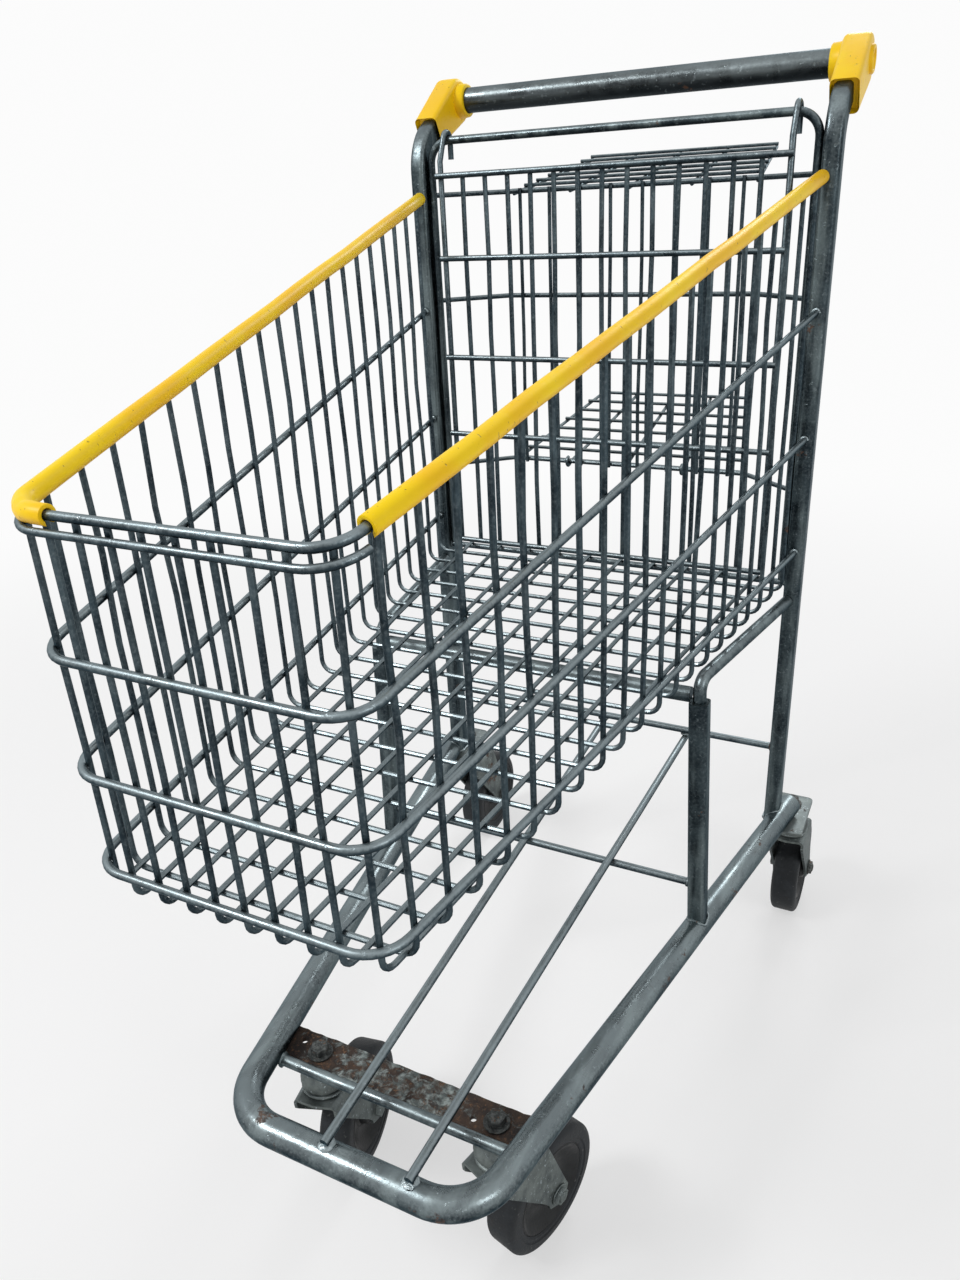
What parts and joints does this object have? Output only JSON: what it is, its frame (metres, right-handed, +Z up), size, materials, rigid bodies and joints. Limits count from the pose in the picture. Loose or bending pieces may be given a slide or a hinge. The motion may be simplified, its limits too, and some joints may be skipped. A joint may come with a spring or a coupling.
{
  "type": "shopping cart",
  "caption": "Wire basket cart on swivel casters: tapered welded basket, U tube chassis, hanging rear gate, fold-up seat pan, push bar with yellow end caps.",
  "frame": {"origin": "centre of the bounding box, on the floor", "axes": "+Z up, the nose of the basket towards -Y, the handle towards +Y, +X to the right seen from the nose looking back"},
  "size_m": [0.5126, 0.9346, 1.022],
  "materials": {
    "galvanised": "weathered galvanised, dark streaks and rust along the seams",
    "wire": "blue-grey zinc, bright on top, dull below",
    "bar": "scratched dark steel",
    "yellow": "yellow moulded plastic, slightly worn",
    "rusty": "rusty dark brown with worn silver",
    "zinc": "speckled dull zinc",
    "tyre": "dusty dark grey rubber",
    "hub": "dark moulded hub"
  },
  "bodies": {
    "frame": {"base_tube": "galvanised", "upright_left": "galvanised", "upright_right": "galvanised", "post_left": "galvanised", "post_right": "galvanised", "cross_tube": "galvanised", "plate_rod": "galvanised", "gate_hoop": "wire", "rear_rod_upper": "wire", "rear_rod_lower": "wire", "mid_rod": "wire", "rack_rod_left": "wire", "rack_rod_right": "wire", "basket_side_left": "wire", "basket_side_right": "wire", "basket_nose": "wire", "basket_floor": "wire", "seat_frame": "wire", "seat_tray": "wire", "handle_bar": "bar", "sleeve_left": "yellow", "sleeve_right": "yellow", "cap_left": "yellow", "cap_right": "yellow", "caster_plate_front": "rusty", "bolt_front_left": "rusty", "bolt_front_right": "rusty", "bolt_rear_left": "rusty", "bolt_rear_right": "rusty", "caster_plate_left": "zinc", "caster_plate_right": "zinc", "head_front_left": "zinc", "head_front_right": "zinc", "head_rear_left": "zinc", "head_rear_right": "zinc"},
    "gate": {"gate": "wire"},
    "seat_pan": {"seat_pan": "wire"},
    "swivel_front_left": {"fork_front_left": "zinc", "axle_front_left": "zinc"},
    "wheel_front_left": {"tyre_front_left": "tyre", "hub_front_left": "hub"},
    "swivel_front_right": {"fork_front_right": "zinc", "axle_front_right": "zinc"},
    "wheel_front_right": {"tyre_front_right": "tyre", "hub_front_right": "hub"},
    "swivel_rear_left": {"fork_rear_left": "zinc", "axle_rear_left": "zinc"},
    "wheel_rear_left": {"tyre_rear_left": "tyre", "hub_rear_left": "hub"},
    "swivel_rear_right": {"fork_rear_right": "zinc", "axle_rear_right": "zinc"},
    "wheel_rear_right": {"tyre_rear_right": "tyre", "hub_rear_right": "hub"}
  },
  "joints": [
    {"name": "gate_swing", "type": "hinge", "parent": "frame", "child": "gate", "pos_m": [0, 0.20942, 0.956], "axis": [-1, 0, 0], "range_deg": [0, 14]},
    {"name": "seat_pan_fold", "type": "hinge", "parent": "frame", "child": "seat_pan", "pos_m": [0, 0.26942, 0.605], "axis": [1, 0, 0], "range_deg": [0, 60]},
    {"name": "swivel_front_left", "type": "hinge", "parent": "frame", "child": "swivel_front_left", "pos_m": [-0.09, -0.30308, 0.155], "axis": [0, 0, 1], "continuous": true},
    {"name": "spin_front_left", "type": "hinge", "parent": "swivel_front_left", "child": "wheel_front_left", "pos_m": [-0.09955, -0.24892, 0.0625], "axis": [0.9848, 0.1736, 0], "continuous": true},
    {"name": "swivel_front_right", "type": "hinge", "parent": "frame", "child": "swivel_front_right", "pos_m": [0.09, -0.30308, 0.155], "axis": [0, 0, 1], "continuous": true},
    {"name": "spin_front_right", "type": "hinge", "parent": "swivel_front_right", "child": "wheel_front_right", "pos_m": [0.10331, -0.24971, 0.0625], "axis": [0.9703, -0.2419, 0], "continuous": true},
    {"name": "swivel_rear_left", "type": "hinge", "parent": "frame", "child": "swivel_rear_left", "pos_m": [-0.228, 0.26142, 0.155], "axis": [0, 0, 1], "continuous": true},
    {"name": "spin_rear_left", "type": "hinge", "parent": "swivel_rear_left", "child": "wheel_rear_left", "pos_m": [-0.228, 0.31642, 0.0625], "axis": [1, 0, 0], "continuous": true},
    {"name": "swivel_rear_right", "type": "hinge", "parent": "frame", "child": "swivel_rear_right", "pos_m": [0.228, 0.26142, 0.155], "axis": [0, 0, 1], "continuous": true},
    {"name": "spin_rear_right", "type": "hinge", "parent": "swivel_rear_right", "child": "wheel_rear_right", "pos_m": [0.228, 0.31642, 0.0625], "axis": [1, 0, 0], "continuous": true}
  ]
}
